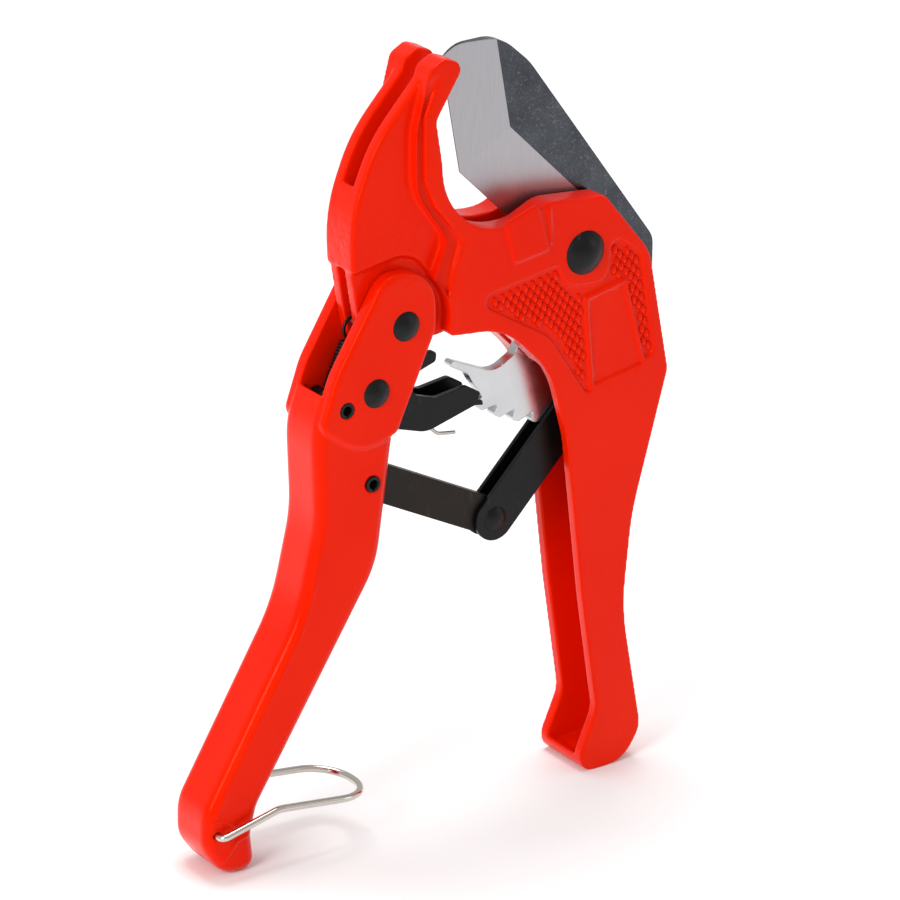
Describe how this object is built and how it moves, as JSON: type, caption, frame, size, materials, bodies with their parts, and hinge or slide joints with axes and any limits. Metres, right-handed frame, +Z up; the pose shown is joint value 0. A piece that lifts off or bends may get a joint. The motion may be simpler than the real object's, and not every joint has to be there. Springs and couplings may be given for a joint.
{
  "type": "ratcheting pipe cutter",
  "caption": "Ratcheting hand shear for plastic pipe: red cast frame with a hooked cradle, ground steel blade with ratchet teeth, sprung handle, pawl, links and a wire locking bail.",
  "frame": {"origin": "middle of the bounding box on the ground under the feet of the two handles", "axes": "+Z up from the feet to the jaw, +Y to the back through the thickness, +X from the moving handle to the fixed handle; the front, with the raised wedge by the saddle, faces -Y"},
  "size_m": [0.1386, 0.0232, 0.201],
  "materials": {
    "red_casting": "gloss red powder coat over an aluminium casting",
    "blade_steel": "hardened steel, dark polished body with satin ground facets",
    "black_steel": "black oxide steel, semi-gloss",
    "link_steel": "black phosphate steel, slightly brown",
    "bail_wire": "bright nickel plated wire",
    "spring_steel": "bright drawn spring wire"
  },
  "bodies": {
    "frame": {"body_frame": "red_casting", "blade_pivot_rivet": "black_steel", "blade_washers": "spring_steel", "spring_anchor_pin": "spring_steel", "opening_spring": "black_steel"},
    "moving_handle": {"moving_handle": "red_casting", "handle_pivot_rivet": "black_steel", "pawl_rivet": "black_steel", "spring_roll_pin": "spring_steel", "link_roll_pin": "spring_steel"},
    "blade": {"blade": "blade_steel"},
    "pawl": {"pawl": "black_steel", "pawl_spring": "spring_steel"},
    "channel_link": {"channel_link": "black_steel", "elbow_rivet": "black_steel", "tail_rivet": "black_steel"},
    "flat_link": {"flat_link": "link_steel"},
    "locking_bail": {"locking_bail": "bail_wire"}
  },
  "joints": [
    {"name": "handle_swing", "type": "hinge", "parent": "frame", "child": "moving_handle", "pos_m": [-0.01034, 0, 0.135], "axis": [0, -1, 0], "range_deg": [-12, 31], "deforming": ["opening_spring"]},
    {"name": "blade_swing", "type": "hinge", "parent": "frame", "child": "blade", "pos_m": [0.04306, 0, 0.1432], "axis": [0, -1, 0], "range_deg": [-5, 12.6]},
    {"name": "pawl_tilt", "type": "hinge", "parent": "moving_handle", "child": "pawl", "pos_m": [-0.01904, 0, 0.1194], "axis": [0, -1, 0], "range_deg": [-35.8, 14]},
    {"name": "channel_link_swing", "type": "hinge", "parent": "blade", "child": "channel_link", "pos_m": [0.04966, 0, 0.1047], "axis": [0, -1, 0], "range_deg": [-5.3, 13.3]},
    {"name": "elbow_fold", "type": "hinge", "parent": "channel_link", "child": "flat_link", "pos_m": [0.02046, 0, 0.0747], "axis": [0, -1, 0], "range_deg": [-32.6, 12.8]},
    {"name": "bail_swing", "type": "hinge", "parent": "moving_handle", "child": "locking_bail", "pos_m": [-0.06604, 0, 0.0121], "axis": [0, -1, 0], "range_deg": [-280, 43]}
  ],
  "couplings": [
    {"joint": "blade_swing", "follows": "handle_swing", "ratio": 0.4},
    {"joint": "pawl_tilt", "follows": "handle_swing", "ratio": -1.14},
    {"joint": "channel_link_swing", "follows": "handle_swing", "ratio": 0.42},
    {"joint": "elbow_fold", "follows": "handle_swing", "ratio": -1.04}
  ]
}
